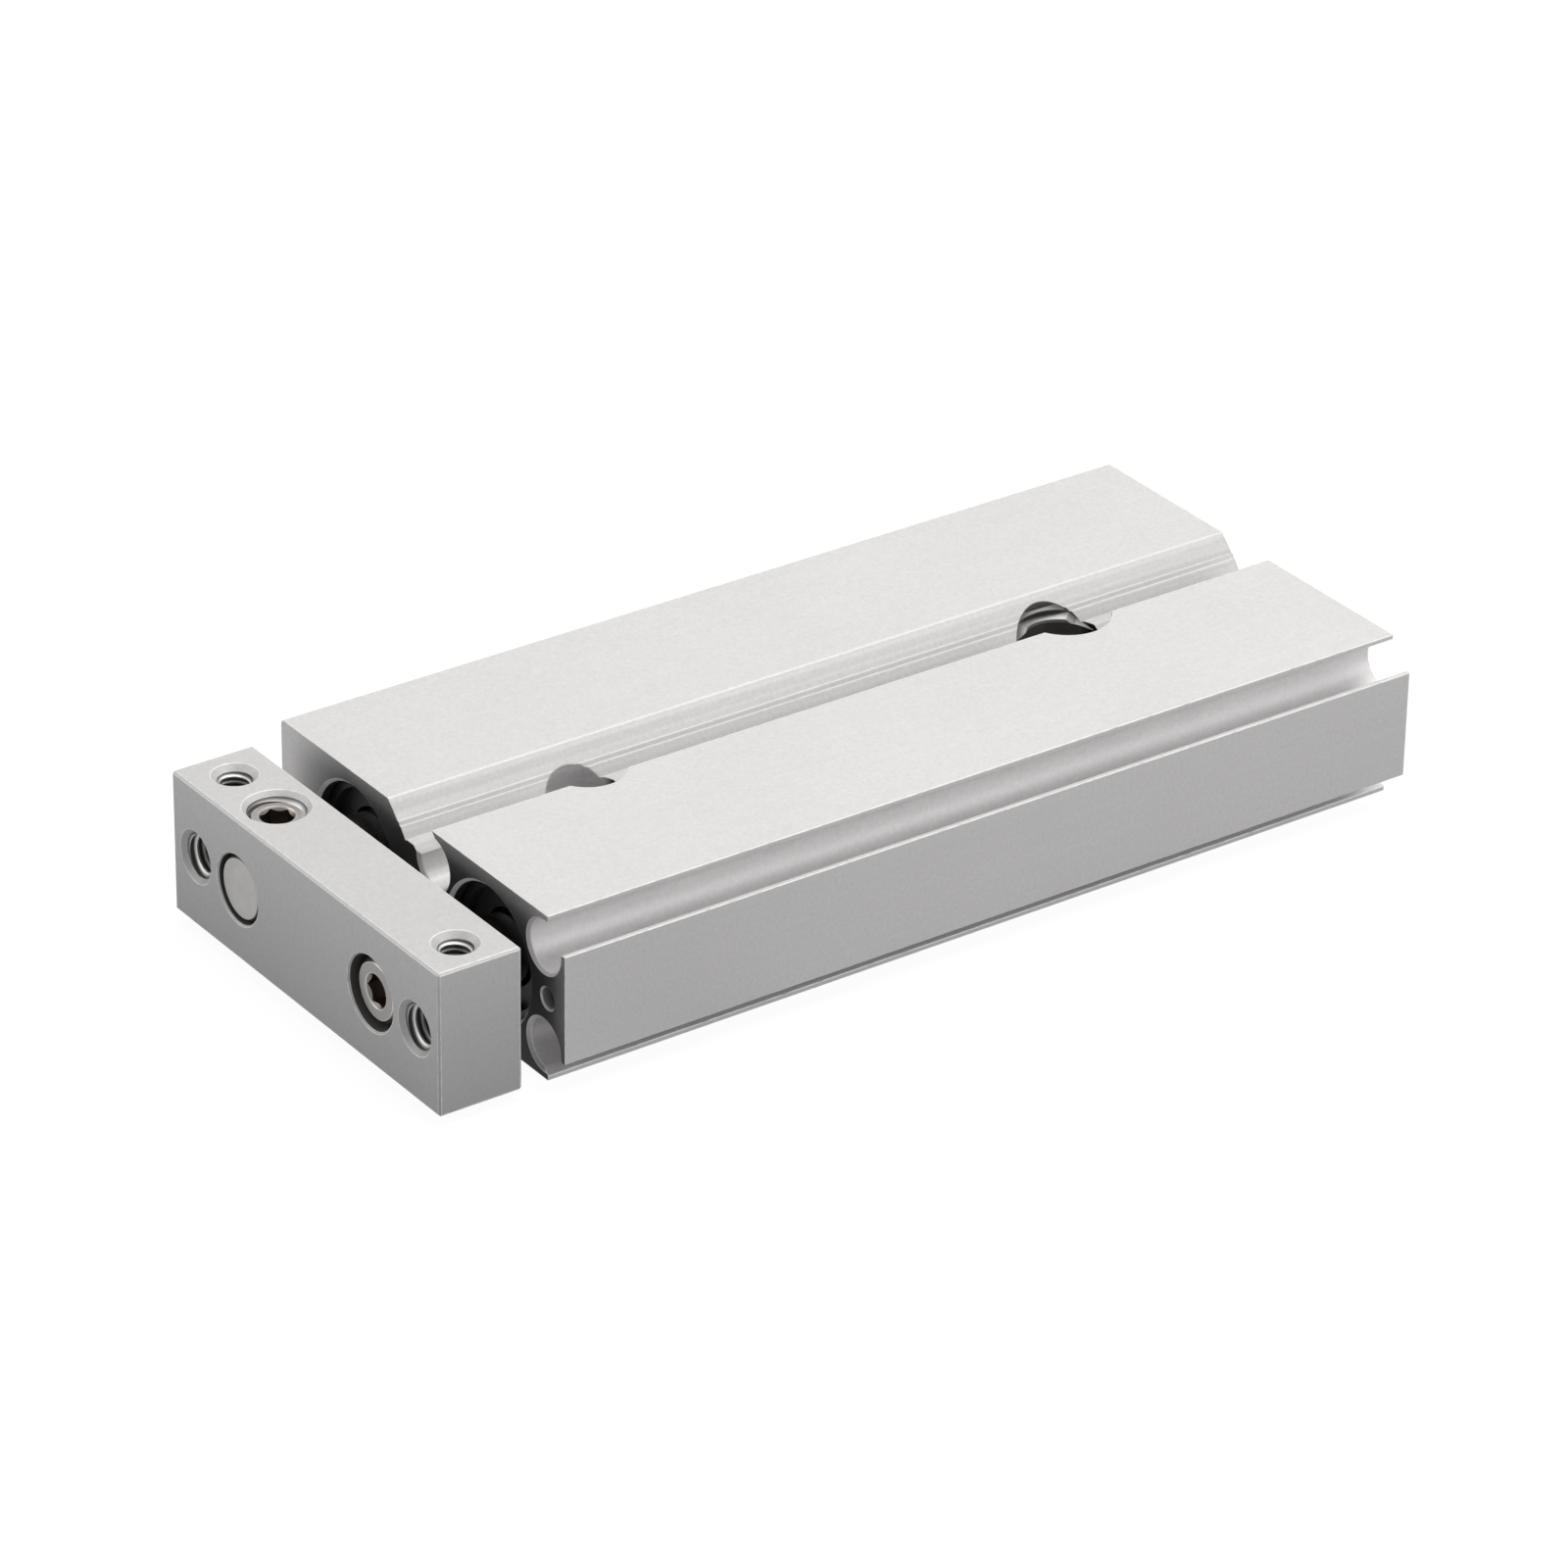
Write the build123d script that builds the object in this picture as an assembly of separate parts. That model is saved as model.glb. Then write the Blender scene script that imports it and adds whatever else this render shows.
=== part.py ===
# Twin rod pneumatic cylinder: two pistons side by side in one block, their rods joined by a plate.
# Sizes are in millimetres. X runs along the rods towards the plate, Y towards the side that has
# the sensor grooves, and Z up. The origin is midway between the block's two bolt holes, at mid-height.

import math
import os

from build123d import *

os.makedirs("parts", exist_ok=True)

# Fits and clearances
RUNNING_CLEARANCE = 0.03
SEAT_CLEARANCE = 0.05
FREE_CLEARANCE = 0.35
STOP_GAP = 0.1
OVERCUT = 1.0

# Threads, by outer radius
M3_RADIUS = 1.5
M4_RADIUS = 2.0
M5_RADIUS = 2.5
M8_RADIUS = 4.0

# Block section
BODY_HEIGHT = 15.0
BODY_CHAMFER = 0.3
BORE_SPACING = 20.0
SIDE_WALL = 5.0
GROOVE_RADIUS = 2.2
GROOVE_INSET = 3.0
GROOVE_LIP_ANGLE = 51.8
GROOVE_MOUTH_CHAMFER = 0.3
LAND_EDGE_INSET = 2.4
PANEL_EDGE_DROP = 2.6
LIP_THICKNESS = 0.4
CHANNEL_WIDTH = 6.48
CHANNEL_LIP_OVERHANG = 0.18
CHANNEL_SLOPE_RUN = 2.56
CHANNEL_SLOPE_DROP = 2.6
CHANNEL_EDGE_RADIUS = 0.35
CHANNEL_STEP_WIDTH = 0.13
CHANNEL_STEP_PLACES = (0.57, 0.7)
CHANNEL_FOOT_GROOVE = 0.15
CHANNEL_LEDGE_GAP = 0.7
CHANNEL_FOOT_ANGLE = 185.3
CHANNEL_LIP_ANGLE = 70.1

# Bores and their seats, depths counted from the nearer end face
BORE_RADIUS = 5.0
SEAT_RADIUS = 6.0
SEAT_CHAMFER = 0.3
FRONT_SEAT_DEPTH = 22.0
REAR_SEAT_DEPTH = 10.0
RING_GROOVE_DEPTH = 1.2
RING_GROOVE_WIDTH = 0.9
RING_GROOVE_CUT = 0.45

# Stroke and the parts that take up the bore's length
STROKE = 30.0
PISTON_LENGTH = 12.0
BUMPER_LENGTH = 2.0
FRONT_NOSE_LENGTH = 4.0
REAR_NOSE_LENGTH = 3.8

# Bolt holes through the block
BOLT_SPACING = 49.0
FRONT_BOLT_SETBACK = 16.25
BOLT_HOLE_RADIUS = 1.7
BOLT_POCKET_RADIUS = 3.4
BOLT_POCKET_DEPTH = 4.0

# Air ports and passages
PORT_DEPTH = 4.2
PORT_COUNTERSINK = 0.3
PORT_DRILL_RADIUS = 1.0
PASSAGE_RADIUS = 0.95
PASSAGE_COUNTERSINK = 0.12
PASSAGE_INSET = 2.45
PASSAGE_BALL_DEPTH = 3.0
AXIAL_PORT_DEPTH = 6.0
AXIAL_PLUG_LENGTH = 4.0
AXIAL_PLUG_RECESS = 0.5
AXIAL_PLUG_KEY = 1.5
AXIAL_PLUG_KEY_DEPTH = 1.5

# End plate
PLATE_WIDTH = 40.0
PLATE_HEIGHT = 13.0
PLATE_THICKNESS = 7.8
PLATE_GAP = 3.35
PLATE_CHAMFER = 0.2
PLATE_THREAD_SPACING = 33.0
FRONT_THREAD_COUNTERSINK = 0.4
TOP_THREAD_DEPTH = 4.2
TOP_THREAD_COUNTERSINK = 0.5
SET_SCREW_COUNTERSINK = 0.4
ROD_HOLE_COUNTERSINK = 0.15
CAP_POCKET_RADIUS = 3.25
CAP_POCKET_COUNTERSINK = 0.15
CAP_CLEARANCE_RADIUS = 1.65
ROD_SOCKET_DEPTH = 1.5

# Plate screws; a turn is the angle at which a socket came to rest
KEY_LEAD_IN = 0.1
CAP_HEAD_RADIUS = 2.75
CAP_HEAD_HEIGHT = 3.0
CAP_HEAD_CHAMFER = 0.3
CAP_HEAD_RECESS = 0.55
CAP_SCREW_LENGTH = 8.0
CAP_KEY = 2.5
CAP_KEY_DEPTH = 1.5
CAP_KEY_TURN = 30
CAP_TAP_SPARE = 1.5
SET_SCREW_LENGTH = 3.0
SET_SCREW_CHAMFER = 0.4
SET_SCREW_KEY = 2.5
SET_SCREW_KEY_DEPTH = 1.8
SET_SCREW_KEY_TURN = 21

# Rods
ROD_RADIUS = 3.0
ROD_CHAMFER = 0.4
ROD_END_RECESS = 0.28
ROD_FLAT_DEPTH = 0.3
SPIGOT_STEP = 1.0
RIVET_RIM = 0.6
RIVET_THICKNESS = 0.6
RIVET_RECESS = 0.2

# Rod covers, seals and bumpers
NOSE_CLEARANCE = 0.8
SEAL_POCKET_CUT = 1.7
RETAINER_THICKNESS = 1.0
ROD_SEAL_LENGTH = 2.4
ROD_SEAL_LIP = 0.4
ROD_SEAL_CUP_DEPTH = 1.2
COVER_CHAMFER = 0.25
O_RING_SECTION = 0.95
O_RING_GROOVE_WIDTH = 1.4
ROD_COVER_GROOVE_DEPTH = 10.0
HEAD_COVER_GROOVE_DEPTH = 5.0

# Pistons and the rings on them, places counted from the piston's front face
WEAR_RING_PLACE = 1.5
WEAR_RING_WIDTH = 2.5
WEAR_RING_THICKNESS = 0.8
MAGNET_PLACE = 5.2
MAGNET_WIDTH = 2.0
MAGNET_SINK = 0.3
MAGNET_THICKNESS = 1.5
PISTON_SEAL_PLACE = 8.4
PISTON_SEAL_WIDTH = 1.8
PISTON_SEAL_HEIGHT = 1.4

# Retaining rings
RING_THICKNESS = 0.8
RING_BAND = 1.2
RING_GAP = 2.4
RING_EAR_WIDTH = 1.5
RING_EAR_REACH = 0.6
RING_EAR_HOLE_RADIUS = 0.4

# Return-stroke adjustment behind the left piston
ADJUSTER_STICK_OUT = 3.0
ADJUSTER_CHAMFER = 0.4
ADJUSTER_KEY = 2.5
ADJUSTER_KEY_DEPTH = 2.0
ADJUSTER_PAD_RADIUS = 3.2
LOCK_NUT_WIDTH = 8.0
LOCK_NUT_HEIGHT = 2.7

# Places that follow from the sizes above
BODY_LENGTH = (
    FRONT_SEAT_DEPTH + FRONT_NOSE_LENGTH + BUMPER_LENGTH + STOP_GAP + STROKE
    + PISTON_LENGTH + STOP_GAP + BUMPER_LENGTH + REAR_NOSE_LENGTH + REAR_SEAT_DEPTH
)
BODY_WIDTH = BORE_SPACING + 2 * (SEAT_RADIUS + SIDE_WALL)
FRONT_X = BOLT_SPACING / 2 + FRONT_BOLT_SETBACK
REAR_X = FRONT_X - BODY_LENGTH
TOP_Z = BODY_HEIGHT / 2
SIDE_Y = BODY_WIDTH / 2
LEFT_Y = -BORE_SPACING / 2
RIGHT_Y = BORE_SPACING / 2
SIDES = {"left": LEFT_Y, "right": RIGHT_Y}
COVER_DEPTH = RING_GROOVE_DEPTH + RING_GROOVE_WIDTH
COVER_RADIUS = SEAT_RADIUS - SEAT_CLEARANCE
NOSE_RADIUS = BORE_RADIUS - NOSE_CLEARANCE
SEAL_POCKET_RADIUS = ROD_RADIUS + SEAL_POCKET_CUT
O_RING_GROOVE_RADIUS = SEAT_RADIUS - O_RING_SECTION
RING_GROOVE_RADIUS = SEAT_RADIUS + RING_GROOVE_CUT
WEAR_RING_BOTTOM = BORE_RADIUS - WEAR_RING_THICKNESS
MAGNET_RADIUS = BORE_RADIUS - MAGNET_SINK
MAGNET_BOTTOM = MAGNET_RADIUS - MAGNET_THICKNESS
PISTON_SEAL_BOTTOM = BORE_RADIUS - PISTON_SEAL_HEIGHT
SPIGOT_RADIUS = ROD_RADIUS - SPIGOT_STEP
RIVET_RADIUS = SPIGOT_RADIUS + RIVET_RIM
FRONT_NOSE_X = FRONT_X - FRONT_SEAT_DEPTH - FRONT_NOSE_LENGTH
REAR_NOSE_X = REAR_X + REAR_SEAT_DEPTH + REAR_NOSE_LENGTH
PISTON_REAR_X = REAR_NOSE_X + BUMPER_LENGTH + STOP_GAP
PISTON_FRONT_X = PISTON_REAR_X + PISTON_LENGTH
FRONT_PORT_X = FRONT_NOSE_X + FRONT_NOSE_LENGTH / 2
REAR_PORT_X = REAR_NOSE_X - REAR_NOSE_LENGTH / 2
PASSAGE_Y = SIDE_Y - PASSAGE_INSET
OUTER_GROOVE_Y = SIDE_Y - GROOVE_INSET
INNER_GROOVE_Y = 2 * RIGHT_Y - OUTER_GROOVE_Y
GROOVE_Z = TOP_Z - GROOVE_INSET
CHANNEL_LIP_Y = INNER_GROOVE_Y - CHANNEL_LIP_OVERHANG
CHANNEL_EDGE_Y = CHANNEL_LIP_Y - CHANNEL_WIDTH
PLATE_BACK_X = FRONT_X + PLATE_GAP
PLATE_FRONT_X = PLATE_BACK_X + PLATE_THICKNESS
PLATE_MID_X = PLATE_BACK_X + PLATE_THICKNESS / 2
PLATE_TOP_Z = PLATE_HEIGHT / 2
PLATE_THREAD_Y = PLATE_THREAD_SPACING / 2
ROD_SOCKET_X = PLATE_BACK_X + ROD_SOCKET_DEPTH
ROD_HOLE_RADIUS = ROD_RADIUS + SEAT_CLEARANCE
CAP_SEAT_X = PLATE_FRONT_X - CAP_HEAD_RECESS - CAP_HEAD_HEIGHT
CAP_TIP_X = CAP_SEAT_X - CAP_SCREW_LENGTH
RUNNING_ROD_HOLE = ROD_RADIUS + RUNNING_CLEARANCE
FREE_ROD_HOLE = ROD_RADIUS + FREE_CLEARANCE
RIVET_POCKET_RADIUS = RIVET_RADIUS + SEAT_CLEARANCE
RIVET_POCKET_DEPTH = RIVET_THICKNESS + RIVET_RECESS
ADJUSTER_RADIUS = M5_RADIUS - RUNNING_CLEARANCE
ADJUSTER_POCKET_RADIUS = ADJUSTER_PAD_RADIUS + FREE_CLEARANCE


def turned(points, y=0):
    # A round piece about a line along X, from its outline in x and radius
    outline = Polygon(*points, align=None)
    return Pos(0, y, 0) * revolve(outline, axis=Axis.X, revolution_arc=360)


def ring(x_low, x_high, inner, outer, y=0):
    # A plain round ring or disc
    return turned([(x_low, inner), (x_high, inner), (x_high, outer), (x_low, outer)], y)


def hole(mouth, outward, radius, depth, countersink=0):
    # A drilled hole to take away: its mouth's centre, the way out of it, and a countersink
    outline = Polygon(
        (0, -depth),
        (radius, -depth),
        (radius, -countersink),
        (radius + countersink + OVERCUT, OVERCUT),
        (0, OVERCUT),
        align=None,
    )
    cutter = revolve(Plane.XZ * outline, axis=Axis.Z, revolution_arc=360)
    return Plane(origin=mouth, z_dir=outward).location * cutter


def hex_socket(mouth, outward, width, depth, turn=0):
    # A hexagon recess to take away, from its width across the flats, with a cone that leads the key in
    corner_radius = width / math.sqrt(3)
    flat_radius = width / 2
    cone_radius = corner_radius + KEY_LEAD_IN
    cone_depth = cone_radius - flat_radius
    plane = Plane(origin=mouth, z_dir=outward)
    recess = extrude(plane * RegularPolygon(corner_radius, 6, rotation=turn), amount=-depth)
    cone = Pos(0, 0, -cone_depth / 2) * Cone(flat_radius, cone_radius, cone_depth)
    return recess + plane.location * cone


def on_circle(centre, radius, degrees):
    angle = math.radians(degrees)
    return centre[0] + radius * math.cos(angle), centre[1] + radius * math.sin(angle)


def corner_groove():
    # Round sensor groove that opens across the block's corner
    centre = (OUTER_GROOVE_Y, GROOVE_Z)
    land_y = SIDE_Y - LAND_EDGE_INSET
    panel_z = TOP_Z - PANEL_EDGE_DROP
    diagonal = 45
    mouth = Polygon(
        (land_y, TOP_Z + OVERCUT),
        (land_y, TOP_Z - LIP_THICKNESS),
        on_circle(centre, GROOVE_RADIUS, diagonal + GROOVE_LIP_ANGLE),
        centre,
        on_circle(centre, GROOVE_RADIUS, diagonal - GROOVE_LIP_ANGLE),
        (SIDE_Y - LIP_THICKNESS, panel_z),
        (SIDE_Y + OVERCUT, panel_z),
        (SIDE_Y + OVERCUT, TOP_Z + OVERCUT),
        align=None,
    )
    return mouth + Pos(*centre) * Circle(GROOVE_RADIUS)


def centre_channel():
    # Sloped channel in the middle, with the inner sensor groove along its foot
    centre = (INNER_GROOVE_Y, GROOVE_Z)
    ledge_z = TOP_Z - CHANNEL_SLOPE_DROP
    slope = [(CHANNEL_EDGE_Y, TOP_Z)]
    for share in CHANNEL_STEP_PLACES:
        # A narrow level step, which shows as a bright line along the slope
        y = CHANNEL_EDGE_Y + share * CHANNEL_SLOPE_RUN
        z = TOP_Z - share * CHANNEL_SLOPE_DROP
        slope.append((y - CHANNEL_STEP_WIDTH / 2, z))
        slope.append((y + CHANNEL_STEP_WIDTH / 2, z))
    foot_y = CHANNEL_EDGE_Y + CHANNEL_SLOPE_RUN
    slope.append((foot_y, ledge_z - CHANNEL_FOOT_GROOVE))
    slope.append((foot_y + CHANNEL_FOOT_GROOVE, ledge_z))
    mouth = Polygon(
        (CHANNEL_EDGE_Y, TOP_Z + OVERCUT),
        *slope,
        (INNER_GROOVE_Y - GROOVE_RADIUS - CHANNEL_LEDGE_GAP, ledge_z),
        on_circle(centre, GROOVE_RADIUS, CHANNEL_FOOT_ANGLE),
        centre,
        on_circle(centre, GROOVE_RADIUS, CHANNEL_LIP_ANGLE),
        (CHANNEL_LIP_Y, TOP_Z),
        (CHANNEL_LIP_Y, TOP_Z + OVERCUT),
        align=None,
    )
    return mouth + Pos(*centre) * Circle(GROOVE_RADIUS)


def body_section():
    section = Rectangle(BODY_WIDTH, BODY_HEIGHT)
    section = chamfer(section.vertices().group_by(Axis.X)[0], BODY_CHAMFER)
    for groove in (corner_groove(), centre_channel()):
        section -= groove
        section -= mirror(groove, about=Plane.XZ)
    low = CHANNEL_EDGE_Y - CHANNEL_EDGE_RADIUS / 2
    high = CHANNEL_EDGE_Y + CHANNEL_EDGE_RADIUS / 2
    return fillet(section.vertices().filter_by_position(Axis.X, low, high), CHANNEL_EDGE_RADIUS)


def bore_cutter(y):
    # The bore, the wider seats at both ends, their ring grooves and mouth chamfers
    mouth_radius = SEAT_RADIUS + SEAT_CHAMFER + OVERCUT
    front = [
        (FRONT_X + OVERCUT, 0),
        (FRONT_X + OVERCUT, mouth_radius),
        (FRONT_X - SEAT_CHAMFER, SEAT_RADIUS),
        (FRONT_X - RING_GROOVE_DEPTH, SEAT_RADIUS),
        (FRONT_X - RING_GROOVE_DEPTH, RING_GROOVE_RADIUS),
        (FRONT_X - COVER_DEPTH, RING_GROOVE_RADIUS),
        (FRONT_X - COVER_DEPTH, SEAT_RADIUS),
        (FRONT_X - FRONT_SEAT_DEPTH, SEAT_RADIUS),
        (FRONT_X - FRONT_SEAT_DEPTH, BORE_RADIUS),
    ]
    rear = [
        (REAR_X + REAR_SEAT_DEPTH, BORE_RADIUS),
        (REAR_X + REAR_SEAT_DEPTH, SEAT_RADIUS),
        (REAR_X + COVER_DEPTH, SEAT_RADIUS),
        (REAR_X + COVER_DEPTH, RING_GROOVE_RADIUS),
        (REAR_X + RING_GROOVE_DEPTH, RING_GROOVE_RADIUS),
        (REAR_X + RING_GROOVE_DEPTH, SEAT_RADIUS),
        (REAR_X + SEAT_CHAMFER, SEAT_RADIUS),
        (REAR_X - OVERCUT, mouth_radius),
        (REAR_X - OVERCUT, 0),
    ]
    return turned(front + rear, y)


def groove_mouth_cutters():
    # Cones that widen the sensor grooves at both ends, so that a sensor slides in
    inner_radius = GROOVE_RADIUS - GROOVE_MOUTH_CHAMFER
    cone_depth = 2 * GROOVE_MOUTH_CHAMFER
    cutters = []
    for x, outward in ((FRONT_X, (1, 0, 0)), (REAR_X, (-1, 0, 0))):
        for y in (INNER_GROOVE_Y, OUTER_GROOVE_Y):
            for z in (-GROOVE_Z, GROOVE_Z):
                cutters.append(hole((x, y, z), outward, inner_radius, 2 * cone_depth, cone_depth))
    return cutters


def bolt_hole_cutters():
    # Two bolt holes with screw head pockets above and below; the rear one is tapped at the top
    cutters = []
    for x, top_radius in ((BOLT_SPACING / 2, BOLT_POCKET_RADIUS), (-BOLT_SPACING / 2, M8_RADIUS)):
        cutters.append(hole((x, 0, TOP_Z), (0, 0, 1), BOLT_HOLE_RADIUS, BODY_HEIGHT + OVERCUT))
        cutters.append(Pos(x, 0, TOP_Z) * Cylinder(top_radius, 2 * BOLT_POCKET_DEPTH))
        cutters.append(Pos(x, 0, -TOP_Z) * Cylinder(BOLT_POCKET_RADIUS, 2 * BOLT_POCKET_DEPTH))
    return cutters


def air_cutters():
    # Two tapped ports in the left side, the drillings behind them and the lengthwise passage
    mouth_y = -SIDE_Y
    left_side = (0, -1, 0)
    rear_reach = RIGHT_Y + SIDE_Y
    front_reach = PASSAGE_Y + SIDE_Y
    cutters = [
        hole((FRONT_PORT_X, mouth_y, 0), left_side, PORT_DRILL_RADIUS, front_reach),
        hole((REAR_PORT_X, mouth_y, 0), left_side, PORT_DRILL_RADIUS, rear_reach),
        hole((FRONT_X, PASSAGE_Y, 0), (1, 0, 0), PASSAGE_RADIUS, BODY_LENGTH + OVERCUT, PASSAGE_COUNTERSINK),
        hole((REAR_X, PASSAGE_Y, 0), (-1, 0, 0), M3_RADIUS, AXIAL_PORT_DEPTH, PORT_COUNTERSINK),
    ]
    for x in (FRONT_PORT_X, REAR_PORT_X):
        cutters.append(hole((x, mouth_y, 0), left_side, M5_RADIUS, PORT_DEPTH, PORT_COUNTERSINK))
    return cutters


def make_housing():
    body = extrude(Plane.YZ.offset(REAR_X) * body_section(), amount=BODY_LENGTH)
    for y in SIDES.values():
        body -= bore_cutter(y)
    for cutter in groove_mouth_cutters() + bolt_hole_cutters() + air_cutters():
        body -= cutter
    return body


def make_plate():
    centre = Pos(PLATE_MID_X, 0, 0)
    plate = centre * Box(PLATE_THICKNESS, PLATE_WIDTH, PLATE_HEIGHT)
    plate = chamfer(plate.edges(), PLATE_CHAMFER)
    forward = (1, 0, 0)
    upward = (0, 0, 1)
    through = PLATE_THICKNESS + OVERCUT
    for y in (-PLATE_THREAD_Y, PLATE_THREAD_Y):
        plate -= hole((PLATE_FRONT_X, y, 0), forward, M4_RADIUS, through, FRONT_THREAD_COUNTERSINK)
        mouth = (PLATE_MID_X, y, PLATE_TOP_Z)
        plate -= hole(mouth, upward, M3_RADIUS, TOP_THREAD_DEPTH, TOP_THREAD_COUNTERSINK)
    left_mouth = (PLATE_FRONT_X, LEFT_Y, 0)
    plate -= hole(left_mouth, forward, ROD_HOLE_RADIUS, through, ROD_HOLE_COUNTERSINK)
    screw_mouth = (PLATE_MID_X, LEFT_Y, PLATE_TOP_Z)
    plate -= hole(screw_mouth, upward, M5_RADIUS, PLATE_TOP_Z, SET_SCREW_COUNTERSINK)
    right_mouth = (PLATE_FRONT_X, RIGHT_Y, 0)
    pocket_depth = PLATE_FRONT_X - CAP_SEAT_X
    plate -= hole(right_mouth, forward, CAP_CLEARANCE_RADIUS, through)
    plate -= hole(right_mouth, forward, CAP_POCKET_RADIUS, pocket_depth, CAP_POCKET_COUNTERSINK)
    plate -= ring(PLATE_BACK_X - OVERCUT, ROD_SOCKET_X, 0, ROD_HOLE_RADIUS, RIGHT_Y)
    return plate


def rod_outline(front_x):
    # Rod, its thinner spigot through the piston, and the riveted head behind the piston
    rivet_front_x = PISTON_REAR_X + RIVET_POCKET_DEPTH
    rivet_rear_x = PISTON_REAR_X + RIVET_RECESS
    return [
        (front_x, 0),
        (front_x, ROD_RADIUS - ROD_CHAMFER),
        (front_x - ROD_CHAMFER, ROD_RADIUS),
        (PISTON_FRONT_X, ROD_RADIUS),
        (PISTON_FRONT_X, SPIGOT_RADIUS),
        (rivet_front_x, SPIGOT_RADIUS),
        (rivet_front_x, RIVET_RADIUS),
        (rivet_rear_x, RIVET_RADIUS),
        (rivet_rear_x, 0),
    ]


def make_rods():
    left = turned(rod_outline(PLATE_FRONT_X - ROD_END_RECESS), LEFT_Y)
    flat = Box(2 * M5_RADIUS, 2 * ROD_RADIUS, 2 * ROD_FLAT_DEPTH)
    left -= Pos(PLATE_MID_X, LEFT_Y, ROD_RADIUS) * flat
    right = turned(rod_outline(ROD_SOCKET_X), RIGHT_Y)
    tap_depth = ROD_SOCKET_X - CAP_TIP_X + CAP_TAP_SPARE
    right -= hole((ROD_SOCKET_X, RIGHT_Y, 0), (1, 0, 0), M3_RADIUS, tap_depth)
    return {"piston_rod_left": left, "piston_rod_right": right}


def make_plate_screws():
    head_x = CAP_SEAT_X + CAP_HEAD_HEIGHT
    cap_outline = [
        (head_x, 0),
        (head_x, CAP_HEAD_RADIUS - CAP_HEAD_CHAMFER),
        (head_x - CAP_HEAD_CHAMFER, CAP_HEAD_RADIUS),
        (CAP_SEAT_X, CAP_HEAD_RADIUS),
        (CAP_SEAT_X, M3_RADIUS),
        (CAP_TIP_X, M3_RADIUS),
        (CAP_TIP_X, 0),
    ]
    cap_screw = turned(cap_outline, RIGHT_Y)
    cap_screw -= hex_socket((head_x, RIGHT_Y, 0), (1, 0, 0), CAP_KEY, CAP_KEY_DEPTH, CAP_KEY_TURN)
    tip_z = ROD_RADIUS - ROD_FLAT_DEPTH
    head_z = tip_z + SET_SCREW_LENGTH
    set_outline = [
        (tip_z, 0),
        (tip_z, M5_RADIUS - SET_SCREW_CHAMFER),
        (tip_z + SET_SCREW_CHAMFER, M5_RADIUS),
        (head_z - SET_SCREW_CHAMFER, M5_RADIUS),
        (head_z, M5_RADIUS - SET_SCREW_CHAMFER),
        (head_z, 0),
    ]
    upright = Plane(origin=(PLATE_MID_X, LEFT_Y, 0), x_dir=(0, 0, 1), z_dir=(1, 0, 0))
    set_screw = upright.location * turned(set_outline)
    head = (PLATE_MID_X, LEFT_Y, head_z)
    set_screw -= hex_socket(head, (0, 0, 1), SET_SCREW_KEY, SET_SCREW_KEY_DEPTH, SET_SCREW_KEY_TURN)
    return {"plate_cap_screw": cap_screw, "plate_set_screw": set_screw}


def make_rod_cover(y):
    # Long rod bearing with a seal pocket in front, an outer groove and a nose at the rear
    front_x = FRONT_X - COVER_DEPTH
    groove_x = FRONT_X - ROD_COVER_GROOVE_DEPTH
    shoulder_x = FRONT_X - FRONT_SEAT_DEPTH
    pocket_x = front_x - RETAINER_THICKNESS - ROD_SEAL_LENGTH
    return turned(
        [
            (front_x, SEAL_POCKET_RADIUS),
            (front_x, COVER_RADIUS - COVER_CHAMFER),
            (front_x - COVER_CHAMFER, COVER_RADIUS),
            (groove_x, COVER_RADIUS),
            (groove_x, O_RING_GROOVE_RADIUS),
            (groove_x - O_RING_GROOVE_WIDTH, O_RING_GROOVE_RADIUS),
            (groove_x - O_RING_GROOVE_WIDTH, COVER_RADIUS),
            (shoulder_x, COVER_RADIUS),
            (shoulder_x, NOSE_RADIUS),
            (FRONT_NOSE_X, NOSE_RADIUS),
            (FRONT_NOSE_X, RUNNING_ROD_HOLE),
            (pocket_x, RUNNING_ROD_HOLE),
            (pocket_x, SEAL_POCKET_RADIUS),
        ],
        y,
    )


def make_rod_seal(y):
    # Cup seal: an outer leg in the pocket, an inner lip on the rod, open towards the bore
    front_x = FRONT_X - COVER_DEPTH - RETAINER_THICKNESS
    rear_x = front_x - ROD_SEAL_LENGTH
    cup_x = rear_x + ROD_SEAL_CUP_DEPTH
    return turned(
        [
            (front_x, FREE_ROD_HOLE),
            (front_x, SEAL_POCKET_RADIUS),
            (rear_x, SEAL_POCKET_RADIUS),
            (rear_x, SEAL_POCKET_RADIUS - ROD_SEAL_LIP),
            (cup_x, SEAL_POCKET_RADIUS - ROD_SEAL_LIP),
            (cup_x, RUNNING_ROD_HOLE + ROD_SEAL_LIP),
            (rear_x, RUNNING_ROD_HOLE + ROD_SEAL_LIP),
            (rear_x, RUNNING_ROD_HOLE),
            (cup_x, RUNNING_ROD_HOLE),
        ],
        y,
    )


def make_seal_retainer(y):
    front_x = FRONT_X - COVER_DEPTH
    return ring(front_x - RETAINER_THICKNESS, front_x, FREE_ROD_HOLE, SEAL_POCKET_RADIUS, y)


def make_o_ring(groove_low_x, y):
    # Sealing ring squeezed between its groove's bottom and the seat
    middle_radius = (SEAT_RADIUS + O_RING_GROOVE_RADIUS) / 2
    half_width = (SEAT_RADIUS - O_RING_GROOVE_RADIUS) / 2
    x = groove_low_x + O_RING_GROOVE_WIDTH / 2
    return turned(
        [
            (x - half_width, middle_radius),
            (x - half_width / 2, O_RING_GROOVE_RADIUS),
            (x + half_width / 2, O_RING_GROOVE_RADIUS),
            (x + half_width, middle_radius),
            (x + half_width / 2, SEAT_RADIUS),
            (x - half_width / 2, SEAT_RADIUS),
        ],
        y,
    )


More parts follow.
